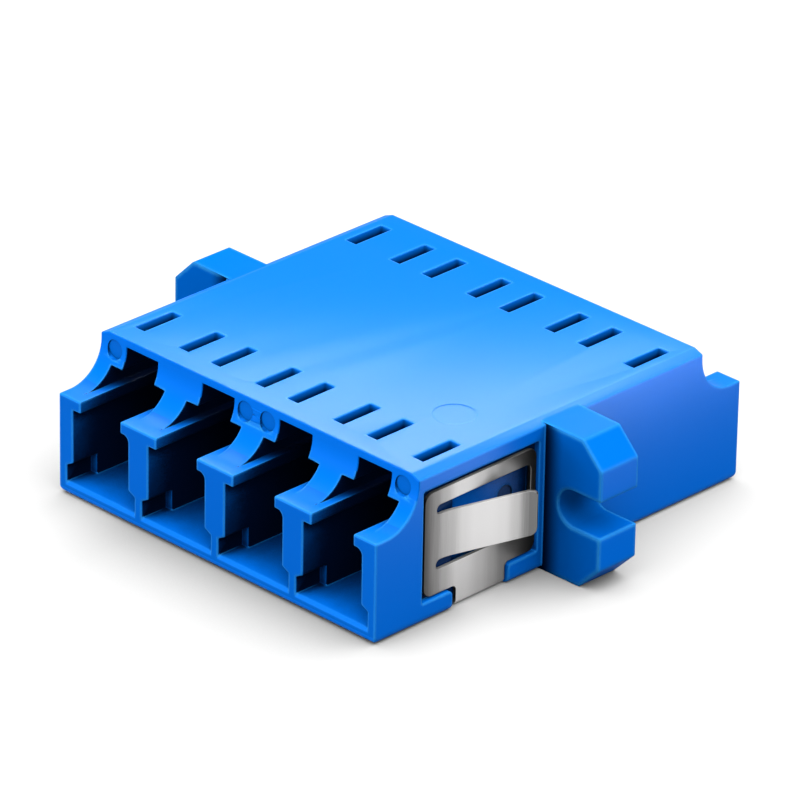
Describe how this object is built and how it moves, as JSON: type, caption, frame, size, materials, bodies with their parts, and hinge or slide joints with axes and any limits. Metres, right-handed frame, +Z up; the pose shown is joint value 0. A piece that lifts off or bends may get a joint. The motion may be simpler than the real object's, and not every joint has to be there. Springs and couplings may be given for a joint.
{
  "type": "fibre optic adapter",
  "caption": "Blue moulded fibre optic adapter with a row of small plug sockets at both ends, side flanges with open screw notches and a spring-steel panel clip.",
  "frame": {"origin": "centre of the underside, on the plane that the body rests on, half way between the two rows of sockets", "axes": "+X along the row of sockets, +Y through the sockets from the clip's end to the other, +Z up from the underside to the face with the latch windows"},
  "size_m": [0.0344, 0.0296, 0.0093],
  "materials": {
    "housing_plastic": "satin",
    "spring_steel": "satin",
    "holder_plastic": "satin",
    "sleeve_ceramic": "polished"
  },
  "bodies": {
    "root": {"housing": "housing_plastic", "panel_clip": "spring_steel", "holder_front_1": "holder_plastic", "holder_front_2": "holder_plastic", "holder_front_3": "holder_plastic", "holder_front_4": "holder_plastic", "holder_rear_1": "holder_plastic", "holder_rear_2": "holder_plastic", "holder_rear_3": "holder_plastic", "holder_rear_4": "holder_plastic", "split_sleeve_1": "sleeve_ceramic", "split_sleeve_2": "sleeve_ceramic", "split_sleeve_3": "sleeve_ceramic", "split_sleeve_4": "sleeve_ceramic"}
  },
  "joints": []
}
